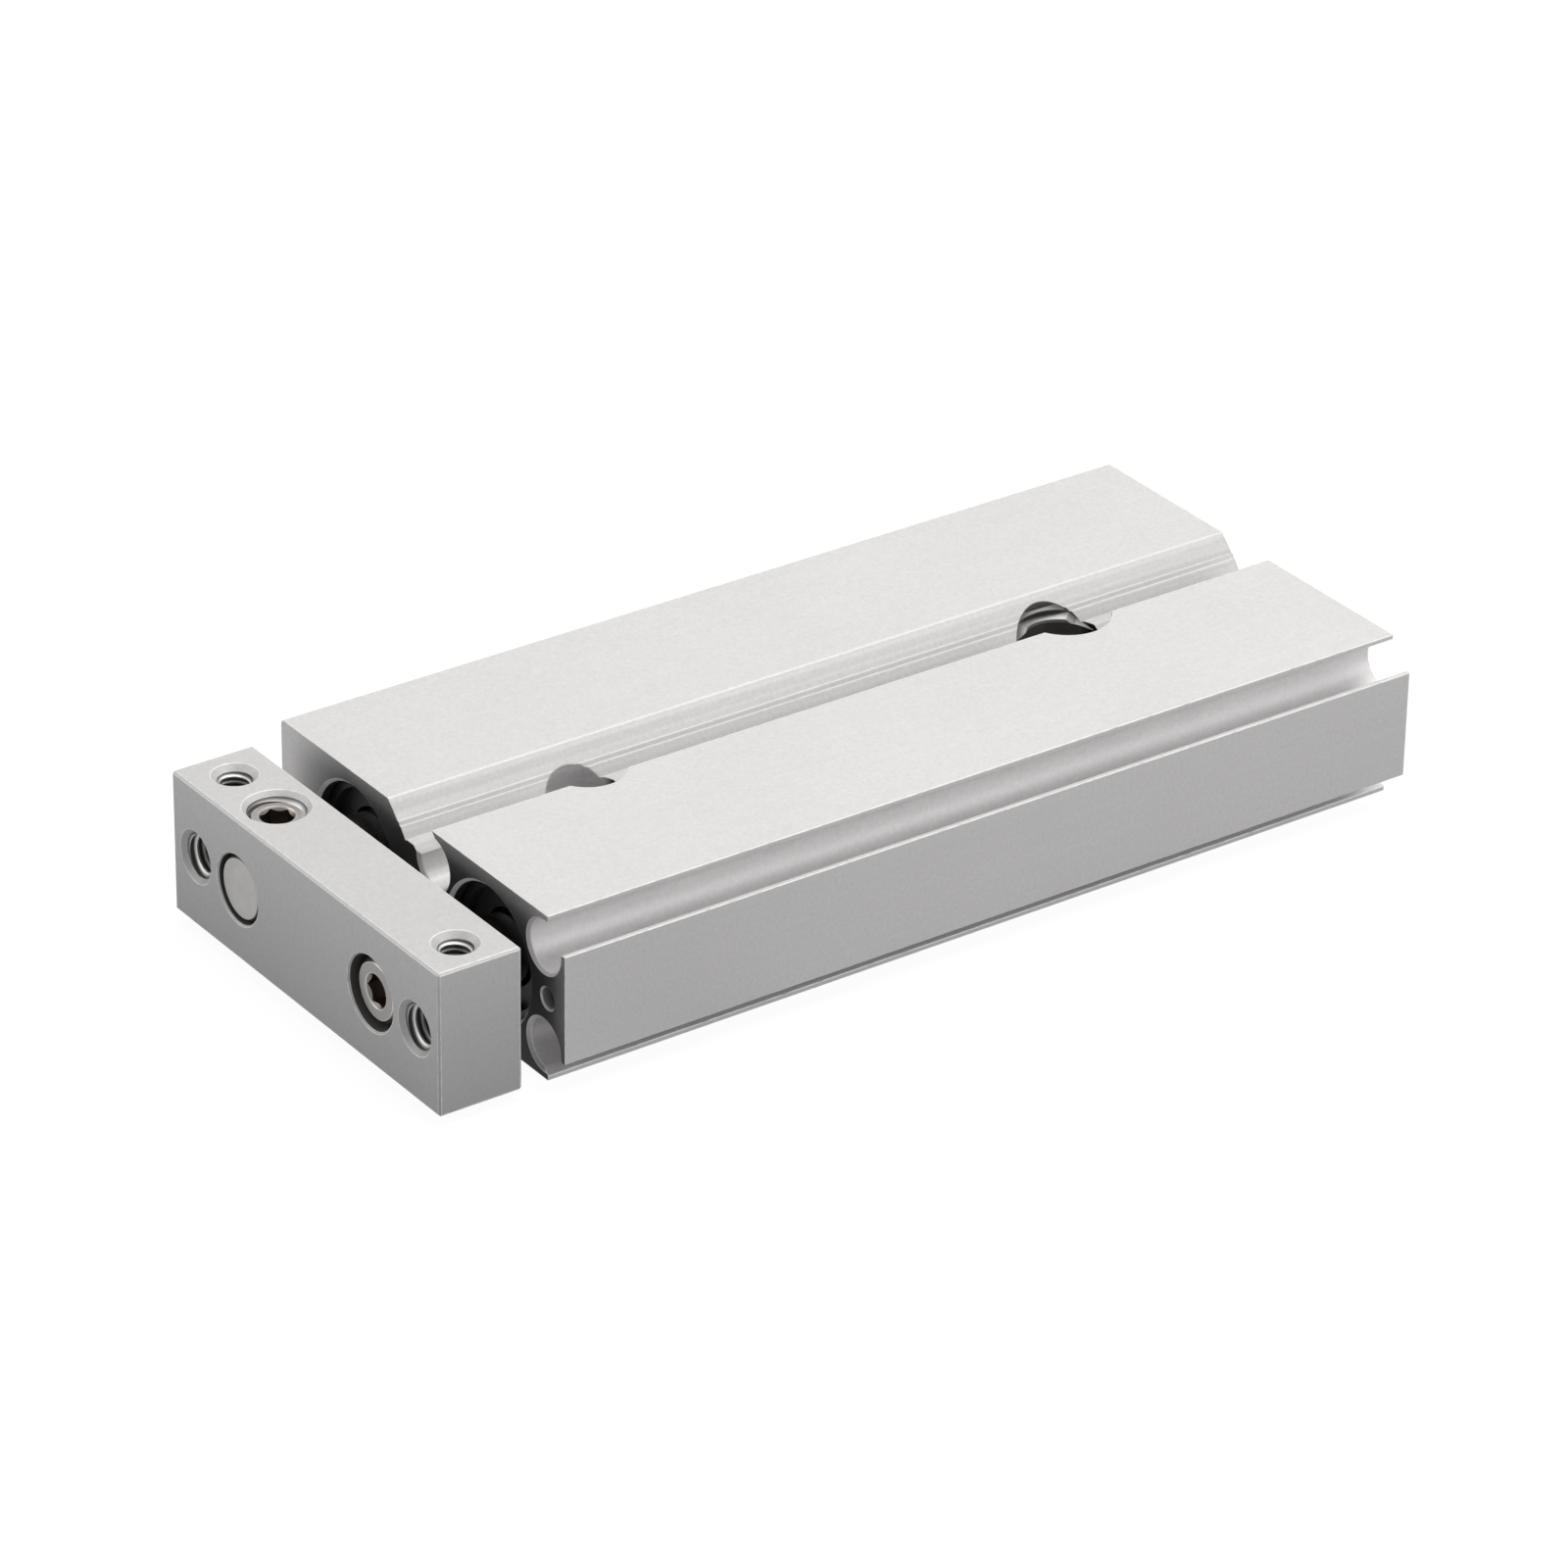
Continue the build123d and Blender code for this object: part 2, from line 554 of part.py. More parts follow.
def make_head_cover(y, with_adjuster):
    # Rear plug with an outer groove and a nose; the left one holds the adjusting screw
    rear_x = REAR_X + COVER_DEPTH
    groove_x = REAR_X + HEAD_COVER_GROOVE_DEPTH
    shoulder_x = REAR_X + REAR_SEAT_DEPTH
    cover = turned(
        [
            (rear_x, 0),
            (rear_x, COVER_RADIUS - COVER_CHAMFER),
            (rear_x + COVER_CHAMFER, COVER_RADIUS),
            (groove_x, COVER_RADIUS),
            (groove_x, O_RING_GROOVE_RADIUS),
            (groove_x + O_RING_GROOVE_WIDTH, O_RING_GROOVE_RADIUS),
            (groove_x + O_RING_GROOVE_WIDTH, COVER_RADIUS),
            (shoulder_x, COVER_RADIUS),
            (shoulder_x, NOSE_RADIUS),
            (REAR_NOSE_X, NOSE_RADIUS),
            (REAR_NOSE_X, 0),
        ],
        y,
    )
    if with_adjuster:
        cover -= ring(rear_x - OVERCUT, REAR_NOSE_X + OVERCUT, 0, M5_RADIUS, y)
        cover -= ring(shoulder_x, REAR_NOSE_X + OVERCUT, 0, ADJUSTER_POCKET_RADIUS, y)
    return cover


def piston_groove(place, width, bottom, y):
    front_x = PISTON_FRONT_X - place
    return ring(front_x - width, front_x, bottom, BORE_RADIUS + OVERCUT, y)


def make_piston(y, with_magnet):
    piston = ring(PISTON_REAR_X, PISTON_FRONT_X, SPIGOT_RADIUS, BORE_RADIUS - SEAT_CLEARANCE, y)
    pocket_x = PISTON_REAR_X + RIVET_POCKET_DEPTH
    piston -= ring(PISTON_REAR_X - OVERCUT, pocket_x, 0, RIVET_POCKET_RADIUS, y)
    piston -= piston_groove(WEAR_RING_PLACE, WEAR_RING_WIDTH, WEAR_RING_BOTTOM, y)
    piston -= piston_groove(PISTON_SEAL_PLACE, PISTON_SEAL_WIDTH, PISTON_SEAL_BOTTOM, y)
    if with_magnet:
        piston -= piston_groove(MAGNET_PLACE, MAGNET_WIDTH, MAGNET_BOTTOM, y)
    return piston


def piston_ring(place, width, bottom, outer, y):
    front_x = PISTON_FRONT_X - place
    return ring(front_x - width, front_x, bottom, outer, y)


def make_retaining_ring(x, y):
    # Open spring ring with two eared ends for pliers
    outer = RING_GROOVE_RADIUS - SEAT_CLEARANCE
    inner = outer - RING_BAND
    ear_radius = inner - RING_EAR_REACH
    gap = Pos(0, -outer) * Rectangle(RING_GAP, 2 * outer)
    band = Circle(outer) - Circle(inner)
    ears = Sketch()
    ear_height = RING_EAR_REACH + RING_BAND / 2
    ear_place = (RING_GAP + RING_EAR_WIDTH) / 2
    for side in (-1, 1):
        ear = Rectangle(RING_EAR_WIDTH, ear_height)
        ears += Pos(side * ear_place, -ear_radius - ear_height / 2) * ear
    outline = band + ears - gap
    for side in (-1, 1):
        outline -= Pos(side * ear_place, -(inner + ear_radius) / 2) * Circle(RING_EAR_HOLE_RADIUS)
    return extrude(Plane.YZ.offset(x) * Pos(y, 0) * outline, amount=RING_THICKNESS)


def make_adjuster():
    front_x = REAR_NOSE_X
    rear_x = REAR_X - ADJUSTER_STICK_OUT
    screw = turned(
        [
            (front_x, 0),
            (front_x, ADJUSTER_RADIUS),
            (rear_x + ADJUSTER_CHAMFER, ADJUSTER_RADIUS),
            (rear_x, ADJUSTER_RADIUS - ADJUSTER_CHAMFER),
            (rear_x, 0),
        ],
        LEFT_Y,
    )
    screw -= hex_socket((rear_x, LEFT_Y, 0), (-1, 0, 0), ADJUSTER_KEY, ADJUSTER_KEY_DEPTH)
    pad = ring(front_x, front_x + BUMPER_LENGTH, 0, ADJUSTER_PAD_RADIUS, LEFT_Y)
    nut_plane = Plane(origin=(REAR_X + COVER_DEPTH, LEFT_Y, 0), x_dir=(0, 0, 1), z_dir=(-1, 0, 0))
    nut_outline = RegularPolygon(LOCK_NUT_WIDTH / 2, 6, major_radius=False) - Circle(M5_RADIUS)
    nut = extrude(nut_plane * nut_outline, amount=LOCK_NUT_HEIGHT)
    return {"adjusting_screw": screw, "adjuster_bumper": pad, "adjuster_lock_nut": nut}


def make_passage_closures():
    ball = Pos(FRONT_X - PASSAGE_BALL_DEPTH, PASSAGE_Y, 0) * Sphere(PASSAGE_RADIUS)
    plug_rear_x = REAR_X + AXIAL_PLUG_RECESS
    plug = ring(plug_rear_x, plug_rear_x + AXIAL_PLUG_LENGTH, 0, M3_RADIUS, PASSAGE_Y)
    mouth = (plug_rear_x, PASSAGE_Y, 0)
    plug -= hex_socket(mouth, (-1, 0, 0), AXIAL_PLUG_KEY, AXIAL_PLUG_KEY_DEPTH)
    return {"passage_ball": ball, "axial_port_plug": plug}


def make_side_parts(side, y):
    # Everything that is the same in both bores
    running_radius = BORE_RADIUS - RUNNING_CLEARANCE
    bumper_radius = BORE_RADIUS - SEAT_CLEARANCE
    rod_groove_x = FRONT_X - ROD_COVER_GROOVE_DEPTH - O_RING_GROOVE_WIDTH
    head_groove_x = REAR_X + HEAD_COVER_GROOVE_DEPTH
    bumper_x = FRONT_NOSE_X - BUMPER_LENGTH
    seal = (PISTON_SEAL_PLACE, PISTON_SEAL_WIDTH, PISTON_SEAL_BOTTOM)
    wear_ring = (WEAR_RING_PLACE, WEAR_RING_WIDTH, WEAR_RING_BOTTOM)
    return {
        f"rod_cover_{side}": make_rod_cover(y),
        f"rod_seal_{side}": make_rod_seal(y),
        f"seal_retainer_{side}": make_seal_retainer(y),
        f"rod_cover_o_ring_{side}": make_o_ring(rod_groove_x, y),
        f"front_retaining_ring_{side}": make_retaining_ring(FRONT_X - COVER_DEPTH, y),
        f"front_bumper_{side}": ring(bumper_x, FRONT_NOSE_X, FREE_ROD_HOLE, bumper_radius, y),
        f"piston_{side}": make_piston(y, side == "right"),
        f"piston_seal_{side}": piston_ring(*seal, running_radius, y),
        f"wear_ring_{side}": piston_ring(*wear_ring, running_radius, y),
        f"head_cover_{side}": make_head_cover(y, side == "left"),
        f"head_cover_o_ring_{side}": make_o_ring(head_groove_x, y),
        f"rear_retaining_ring_{side}": make_retaining_ring(REAR_X + COVER_DEPTH - RING_THICKNESS, y),
    }


parts = {"housing": make_housing(), "rod_plate": make_plate()}
parts.update(make_rods())
parts.update(make_plate_screws())
for side_name, bore_y in SIDES.items():
    parts.update(make_side_parts(side_name, bore_y))
parts["piston_magnet"] = piston_ring(MAGNET_PLACE, MAGNET_WIDTH, MAGNET_BOTTOM, MAGNET_RADIUS, RIGHT_Y)
parts["rear_bumper_right"] = ring(REAR_NOSE_X, REAR_NOSE_X + BUMPER_LENGTH, 0, NOSE_RADIUS, RIGHT_Y)
parts.update(make_adjuster())
parts.update(make_passage_closures())

for name, solid in parts.items():
    export_step(solid, f"parts/{name}.step")
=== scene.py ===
# %% [markdown]
# # Dressing a twin rod air cylinder
# The cylinder is a flat aluminium block with two bores. Two rods come out of it and carry an end
# plate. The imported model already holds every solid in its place, so this lesson adds what a
# designer's model leaves out: the camera, the light, the finishes of each metal, and the threads
# in the tapped holes. Everything is in metres, in the model's own frame: X along the rods, Y
# across, Z up.

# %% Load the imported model
import math
from collections import namedtuple
from functools import reduce

import bmesh
import bpy
from mathutils import Matrix, Vector
from mathutils.bvhtree import BVHTree


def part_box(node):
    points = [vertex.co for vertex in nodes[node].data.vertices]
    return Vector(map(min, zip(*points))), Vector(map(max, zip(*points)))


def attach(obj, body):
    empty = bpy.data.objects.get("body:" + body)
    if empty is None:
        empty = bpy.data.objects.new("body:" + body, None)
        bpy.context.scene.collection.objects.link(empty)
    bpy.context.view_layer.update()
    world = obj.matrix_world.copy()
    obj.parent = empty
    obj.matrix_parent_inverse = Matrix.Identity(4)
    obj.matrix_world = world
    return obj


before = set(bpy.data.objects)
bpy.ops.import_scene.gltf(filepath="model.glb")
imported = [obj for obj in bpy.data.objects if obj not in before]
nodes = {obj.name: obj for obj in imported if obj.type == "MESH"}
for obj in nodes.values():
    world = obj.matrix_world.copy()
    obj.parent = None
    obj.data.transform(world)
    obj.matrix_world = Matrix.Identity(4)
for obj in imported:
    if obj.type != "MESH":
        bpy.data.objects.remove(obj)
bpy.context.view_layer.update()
MM = 0.001

# %% [markdown]
# ## The camera
# The photograph was taken from far away with a long lens, a little above the object and from the
# side that has the sensor grooves. A long lens keeps the block's long edges almost parallel. The
# camera could be aimed with a constraint, but a matrix from its azimuth, elevation and roll says
# plainly where it looks.

# %% Set the camera at the photograph's angle
CAMERA_PLACE = Vector((0.31113, 0.42489, 0.28707))
CAMERA_AZIMUTH = math.radians(144.198)
CAMERA_ELEVATION = math.radians(28.731)
CAMERA_ROLL = math.radians(0.923)
LENS_MM = 164.36
SENSOR_MM = 36
NEAREST_SEEN = 0.01

back = Vector((
    math.sin(CAMERA_AZIMUTH) * math.cos(CAMERA_ELEVATION),
    -math.cos(CAMERA_AZIMUTH) * math.cos(CAMERA_ELEVATION),
    math.sin(CAMERA_ELEVATION),
))
level_right = Vector((0, 0, 1)).cross(back).normalized()
level_up = back.cross(level_right)
right = level_right * math.cos(CAMERA_ROLL) + level_up * math.sin(CAMERA_ROLL)
up = level_up * math.cos(CAMERA_ROLL) - level_right * math.sin(CAMERA_ROLL)

camera = bpy.data.objects.new("camera", bpy.data.cameras.new("camera"))
bpy.context.scene.collection.objects.link(camera)
camera.data.sensor_width = SENSOR_MM
camera.data.lens = LENS_MM
camera.data.clip_start = NEAREST_SEEN
turn = Matrix((right, up, back)).transposed().to_4x4()
camera.matrix_world = Matrix.Translation(CAMERA_PLACE) @ turn
bpy.context.scene.camera = camera
bpy.context.scene.view_settings.view_transform = "Standard"
print("camera", round(CAMERA_PLACE.length, 3), "m from the middle of the block")

# %% [markdown]
# ## Sizes that the dressing needs
# Where a solid's box can tell a size, it is read from there, so that it follows the model. The
# rest, such as where a tapped hole is, is written as numbers. The height is zero at the middle of
# the block.

# %% Read places from the solids
block_low, block_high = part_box("housing")
plate_low, plate_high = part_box("rod_plate")
FRONT_X = block_high.x
REAR_X = block_low.x
TOP_Z = block_high.z
SIDE_Y = block_high.y
FLOOR_Z = block_low.z
PLATE_FRONT_X = plate_high.x
PLATE_MID_X = (plate_low.x + plate_high.x) / 2
PLATE_TOP_Z = plate_high.z
PLATE_THICKNESS = plate_high.x - plate_low.x
BORE_Y = 10 * MM
PLATE_THREAD_Y = 16.5 * MM
BOLT_HOLE_X = 24.5 * MM
PASSAGE_Y = 18.55 * MM
CHANNEL_MID_Y = -1.4 * MM
GROOVE_OUT_Y = 18 * MM
GROOVE_IN_Y = 2 * MM
GROOVE_Z = 4.5 * MM
PORT_FRONT_X = 16.75 * MM
PORT_REAR_X = -33.35 * MM
M3_RADIUS = 1.5 * MM
M4_RADIUS = 2 * MM
M5_RADIUS = 2.5 * MM
M8_RADIUS = 4 * MM
M3_PITCH = 0.5 * MM
M4_PITCH = 0.7 * MM
M5_PITCH = 0.8 * MM
M8_PITCH = 1.25 * MM
print("block", round((FRONT_X - REAR_X) / MM, 1), "mm long")

# %% [markdown]
# ## Node helpers
# A material is a tree of small nodes, and most of the work is to add one and link it. These
# helpers do that in one line each, so the finishes below read like recipes.

# %% Add and link nodes
NODE_SETTINGS = ("operation", "data_type", "samples")


def put(tree, kind, **values):
    # Adds a node. i0, i1 and so on are inputs by number. Another node's output is linked, not copied.
    node = tree.nodes.new(kind)
    for name, value in values.items():
        if name in NODE_SETTINGS:
            setattr(node, name, value)
            continue
        by_number = name[0] == "i" and name[1:].isdigit()
        socket = node.inputs[int(name[1:])] if by_number else node.inputs[name]
        if isinstance(value, bpy.types.NodeSocket):
            tree.links.new(value, socket)
        else:
            socket.default_value = value
    return node


def math_node(tree, operation, first, second=0.0):
    return put(tree, "ShaderNodeMath", operation=operation, i0=first, i1=second).outputs[0]


def combined(tree, operation, values):
    # Many values made one: their sum, their product, the largest or the smallest
    return reduce(lambda first, second: math_node(tree, operation, first, second), values)


def remapped(tree, value, low, high, to_low, to_high):
    limits = {"From Min": low, "From Max": high, "To Min": to_low, "To Max": to_high}
    return put(tree, "ShaderNodeMapRange", Value=value, **limits).outputs[0]


def spread(tree, value, low, high):
    # Stretches a 0 to 1 pattern to the span from low to high
    return remapped(tree, value, 0.0, 1.0, low, high)


def step_up(tree, value, low, high):
    # Rises from 0 to 1 while value goes from low to high
    return remapped(tree, value, low, high, 0.0, 1.0)


def mixed(tree, factor, first, second):
    # First where factor is 0, second where it is 1
    return put(tree, "ShaderNodeMix", data_type="RGBA", i0=factor, i6=first, i7=second).outputs[2]


def scaled(tree, colour, brightness):
    # A colour made darker or lighter
    if not isinstance(colour, bpy.types.NodeSocket):
        colour = colour[:3]
    node = put(tree, "ShaderNodeVectorMath", operation="SCALE", i0=colour, Scale=brightness)
    return node.outputs[0]


def grey(value, warmth=0.0):
    return (value * (1 + warmth), value, value * (1 - warmth), 1)


def new_material(name):
    material = bpy.data.materials.new(name)
    material.use_nodes = True
    tree = material.node_tree
    tree.nodes.clear()
    output = tree.nodes.new("ShaderNodeOutputMaterial")
    return material, tree, output


print("node helpers ready")

# %% [markdown]
# ## The studio
# A product photograph on white: a broad soft light above, a weaker one at each side, and a floor
# that burns out to white in the picture. The floor is white where the camera or a reflection sees
# it, and is still a real surface, so the block keeps a thin shadow under its edge.

# %% White surroundings
AMBIENT_LEVEL = 0.15
WHITE = (1, 1, 1, 1)


def seen_directly(tree):
    # 1 for rays from the camera and for reflected or refracted rays, 0 for light on the object
    path = tree.nodes.new("ShaderNodeLightPath").outputs
    rays = (path["Is Camera Ray"], path["Is Glossy Ray"], path["Is Transmission Ray"])
    return combined(tree, "MAXIMUM", rays)


world = bpy.data.worlds.new("studio")
bpy.context.scene.world = world
world.use_nodes = True
sky = world.node_tree
sky.nodes.clear()
ambient = put(sky, "ShaderNodeBackground", Strength=AMBIENT_LEVEL, Color=WHITE)
white = put(sky, "ShaderNodeBackground", Strength=1, Color=WHITE)
choice = put(
    sky, "ShaderNodeMixShader",
    i0=seen_directly(sky), i1=ambient.outputs[0], i2=white.outputs[0],
)
put(sky, "ShaderNodeOutputWorld", Surface=choice.outputs[0])
print("surroundings ready")

# %% White floor
FLOOR_GLOW = 0.93
FLOOR_WHITE = (0.16, 0.16, 0.16, 1)
FLOOR_HALF = 1.5
FLOOR_GAP = 0.02 * MM


def floor_material():
    material, tree, output = new_material("studio_floor")
    diffuse = put(tree, "ShaderNodeBsdfDiffuse", Color=FLOOR_WHITE).outputs[0]
    glow = put(tree, "ShaderNodeEmission", Strength=FLOOR_GLOW).outputs[0]
    lit = put(tree, "ShaderNodeAddShader", i0=diffuse, i1=glow).outputs[0]
    choice = put(tree, "ShaderNodeMixShader", i0=seen_directly(tree), i1=diffuse, i2=lit)
    tree.links.new(choice.outputs[0], output.inputs["Surface"])
    return material


bm = bmesh.new()
bmesh.ops.create_grid(bm, x_segments=1, y_segments=1, size=FLOOR_HALF)
bmesh.ops.translate(bm, verts=bm.verts, vec=(0, 0, FLOOR_Z - FLOOR_GAP))
floor_mesh = bpy.data.meshes.new("floor")
bm.to_mesh(floor_mesh)
bm.free()
floor = bpy.data.objects.new("floor", floor_mesh)
bpy.context.scene.collection.objects.link(floor)
floor_mesh.materials.append(floor_material())
print("floor at", round(FLOOR_Z / MM, 2), "mm")

# %% [markdown]
# ## Soft lights
# Each light is a large bright square that faces the block. The larger it is, the softer the
# shadows and the broader the reflections on flat metal.

# %% Hang three soft lights
def soft_light(name, place, size, watts, colour=(1, 1, 1)):
    data = bpy.data.lights.new(name, "AREA")
    data.shape = "RECTANGLE"
    data.size = size
    data.size_y = size
    data.energy = watts
    data.color = colour
    light = bpy.data.objects.new(name, data)
    bpy.context.scene.collection.objects.link(light)
    light.location = place
    light.rotation_euler = (-Vector(place)).to_track_quat("-Z", "Y").to_euler()


FAINTLY_GREEN = (0.98, 1, 0.955)
soft_light("top_softbox", (-0.18, -0.05, 0.6), 0.6, 3.25, FAINTLY_GREEN)
soft_light("side_softbox", (-0.35, 0.72, 0.3), 0.5, 2.05)
soft_light("end_softbox", (0.7, -0.5, 0.3), 0.8, 2.2)

# %% [markdown]
# ## Grain, and worn edges with a painted highlight
# All patterns are read from Object coordinates, which are the model's own metres. Sharp edges are
# worn bright and get a painted highlight. A bevel node finds them: where its softened normal
# differs from the true one, there is an edge.

# %% Patterns for all finishes
EDGE_SAMPLES = 8
EDGE_FLAT = 0.998
EDGE_SHARP = 0.965


def new_finish(name):
    # A material, and the place on the object that its patterns follow
    material, tree, output = new_material(name)
    place = tree.nodes.new("ShaderNodeTexCoord").outputs["Object"]
    return material, tree, output, place


def split(tree, place):
    return put(tree, "ShaderNodeSeparateXYZ", Vector=place).outputs


def noise(tree, place, scale, detail=2.0, stretch=(1, 1, 1)):
    mapping = put(tree, "ShaderNodeMapping", Vector=place, Scale=stretch).outputs[0]
    return put(tree, "ShaderNodeTexNoise", Vector=mapping, Scale=scale, Detail=detail).outputs["Fac"]


def softened_normal(tree, width):
    return put(tree, "ShaderNodeBevel", samples=EDGE_SAMPLES, Radius=width).outputs[0]


def edge_mask(tree, softened):
    # 1 on sharp edges, 0 on flats
    true_normal = tree.nodes.new("ShaderNodeNewGeometry").outputs["True Normal"]
    dot = put(tree, "ShaderNodeVectorMath", operation="DOT_PRODUCT", i0=softened, i1=true_normal)
    return step_up(tree, dot.outputs["Value"], EDGE_FLAT, EDGE_SHARP)


def roughened(tree, height, strength, distance, **softened):
    size = {"Strength": strength, "Distance": distance}
    return put(tree, "ShaderNodeBump", Height=height, **size, **softened).outputs[0]


def shader(tree, output, colour, metallic, roughness, **more):
    more.update({"Base Color": colour, "Metallic": metallic, "Roughness": roughness})
    principled = put(tree, "ShaderNodeBsdfPrincipled", **more)
    tree.links.new(principled.outputs[0], output.inputs["Surface"])


print("patterns ready")

# %% [markdown]
# ## Painted shade in the holes
# Little light gets into a narrow hole, so its wall gets a painted shade. A hole is described by its
# line, its radius and its mouth, so the same recipe paints shade in all of them. The painted shade
# stops a little way in, or it would show on the far side of the block.

# %% Describe the holes
# Painted shade inside the holes and in the threads' roots
HOLE_PAINTED_SHADE = grey(0.12, 0.03)
HOLE_REACH = 7.5 * MM
HOLE_END_FADE = 0.1 * MM
WALL_NEAR = 0.03 * MM
WALL_FAR = 0.06 * MM

# axis is the letter of the hole's line, first and second its two other coordinates, outward the way
# out of its mouth (1 or -1). clear is the depth in mm that stays bright, and over the next mm, given
# by fade, it turns dark.
Hole = namedtuple("Hole", "axis first second radius mouth outward clear fade")


def distance_from_line(tree, parts, axis, first, second):
    # How far a point is from a line along one axis, given the line's two other coordinates
    squares = []
    for name, value in zip([name for name in "XYZ" if name != axis], (first, second)):
        away = math_node(tree, "SUBTRACT", parts[name], value)
        squares.append(math_node(tree, "MULTIPLY", away, away))
    return math_node(tree, "SQRT", math_node(tree, "ADD", *squares))


def deep_in_hole(tree, parts, hole):
    # 0 at a hole's mouth, 1 inside it
    away = distance_from_line(tree, parts, hole.axis, hole.first, hole.second)
    inside = step_up(tree, away, hole.radius + WALL_FAR, hole.radius + WALL_NEAR)
    along = parts[hole.axis]
    start = hole.mouth - hole.outward * hole.clear * MM
    deep = step_up(tree, along, start, start - hole.outward * hole.fade * MM)
    end = hole.mouth - hole.outward * HOLE_REACH
    near = step_up(tree, along, end, end + hole.outward * HOLE_END_FADE)
    return combined(tree, "MULTIPLY", (inside, deep, near))


def painted_shade_in_holes(tree, parts, base, holes):
    # Painted shade, growing deeper into each hole
    deepest = combined(tree, "MAXIMUM", [deep_in_hole(tree, parts, hole) for hole in holes])
    return mixed(tree, deepest, base, HOLE_PAINTED_SHADE)


def set_screw_hole(clear, fade):
    return Hole("Z", PLATE_MID_X, -BORE_Y, M5_RADIUS, PLATE_TOP_Z, 1, clear, fade)


def front_holes(clear, fade):
    places = (-PLATE_THREAD_Y, PLATE_THREAD_Y)
    return [Hole("X", y, 0, M4_RADIUS, PLATE_FRONT_X, 1, clear, fade) for y in places]


def top_holes(clear, fade):
    places = (-PLATE_THREAD_Y, PLATE_THREAD_Y)
    return [Hole("Z", PLATE_MID_X, y, M3_RADIUS, PLATE_TOP_Z, 1, clear, fade) for y in places]


def port_holes(clear, fade):
    places = (PORT_FRONT_X, PORT_REAR_X)
    return [Hole("Y", x, 0, M5_RADIUS, -SIDE_Y, -1, clear, fade) for x in places]


def rear_hole(clear, fade):
    return Hole("Z", -BOLT_HOLE_X, 0, M8_RADIUS, TOP_Z, 1, clear, fade)


CAP_HOLE_RADIUS = 3.25 * MM
ROD_HOLE_RADIUS = 3.05 * MM
FRONT_POCKET_RADIUS = 3.4 * MM
PASSAGE_RADIUS = 0.95 * MM
PLATE_HOLES = [
    set_screw_hole(0.4, 2.0),
    Hole("X", BORE_Y, 0, CAP_HOLE_RADIUS, PLATE_FRONT_X, 1, 0.14, 0.1),
    Hole("X", -BORE_Y, 0, ROD_HOLE_RADIUS, PLATE_FRONT_X, 1, 0.13, 0.03),
    *front_holes(0.4, 0.2),
    *top_holes(0.5, 0.2),
]
BLOCK_HOLES = [
    rear_hole(0.0, 0.1),
    Hole("Z", BOLT_HOLE_X, 0, FRONT_POCKET_RADIUS, TOP_Z, 1, 0.3, 16.0),
    Hole("X", PASSAGE_Y, 0, PASSAGE_RADIUS, FRONT_X, 1, 0.1, 1.2),
    *port_holes(0.4, 0.2),
]
print("holes", len(PLATE_HOLES), "in the plate,", len(BLOCK_HOLES), "in the block")

# %% [markdown]
# ## Painted light and shade on the block
# The sensor grooves are smooth and get a painted light. The bores get a painted shade, near black.
# The end face behind the plate is closed in, and an ambient occlusion node finds how much painted
# shade it gets. It could be left to the lamps alone, but soft lamps reach too far into the gap.

# %% Masks on the block
GROOVE_REACH = 2.25 * MM
GROOVE_FADE = 0.05 * MM
BORE_REACH = 6.5 * MM
BORE_FADE = 0.12 * MM
MOUTH_CLEAR = 0.26 * MM
MOUTH_DARK = 0.34 * MM
FACES_X_FROM = 0.85
FACES_X_FULLY = 0.95
GAP_SAMPLES = 12
GAP_REACH = 7 * MM
GAP_OPEN = 0.95
GAP_CLOSED = 0.5
GAP_FADE_Y = -11 * MM
GAP_EDGE = 1 * MM


def on_end_faces(tree):
    # 1 on faces that look along X, forwards or back
    normal = tree.nodes.new("ShaderNodeNewGeometry").outputs["Normal"]
    along_x = math_node(tree, "ABSOLUTE", split(tree, normal)["X"])
    return step_up(tree, along_x, FACES_X_FROM, FACES_X_FULLY)


def end_face_shade(tree, parts):
    # How closed in the block's front and rear faces are: 1 deep in the gap behind the plate
    occlusion = put(tree, "ShaderNodeAmbientOcclusion", samples=GAP_SAMPLES, Distance=GAP_REACH)
    closed = step_up(tree, occlusion.outputs["AO"], GAP_OPEN, GAP_CLOSED)
    far_in = step_up(tree, parts["Y"], -SIDE_Y + GAP_EDGE, GAP_FADE_Y)
    return combined(tree, "MULTIPLY", (on_end_faces(tree), closed, far_in))


def inside_grooves(tree, parts):
    # 1 on the walls of the two upper sensor grooves, where light from above gets in and is painted
    nearest = combined(tree, "MINIMUM", [
        distance_from_line(tree, parts, "X", y, GROOVE_Z) for y in (GROOVE_OUT_Y, GROOVE_IN_Y)
    ])
    return step_up(tree, nearest, GROOVE_REACH + GROOVE_FADE, GROOVE_REACH)


def inside_bores(tree, parts):
    # 1 on the bores' walls and seats, behind the chamfers at their mouths, where shade is painted
    # near black
    near_bores = []
    for y in (-BORE_Y, BORE_Y):
        away = distance_from_line(tree, parts, "X", y, 0)
        near_bores.append(step_up(tree, away, BORE_REACH + BORE_FADE, BORE_REACH))
    inside = combined(tree, "MAXIMUM", near_bores)
    ahead = step_up(tree, parts["X"], FRONT_X - MOUTH_CLEAR, FRONT_X - MOUTH_DARK)
    behind = step_up(tree, parts["X"], REAR_X + MOUTH_CLEAR, REAR_X + MOUTH_DARK)
    return math_node(tree, "MULTIPLY", inside, math_node(tree, "MULTIPLY", ahead, behind))


def side_shade(tree, height, low_shade):
    # Less light reaches the lower half of the sides: low_shade at the floor, 1 at the top
    return remapped(tree, height, FLOOR_Z, TOP_Z, low_shade, 1.0)


print("masks ready")

# %% [markdown]
# ## Satin anodised aluminium
# The block is an extrusion: etched, then anodised, so it is a soft grey with a very fine sparkle
# and faint lines along its length. The plate is machined, so it has no streaks and sharper edges.

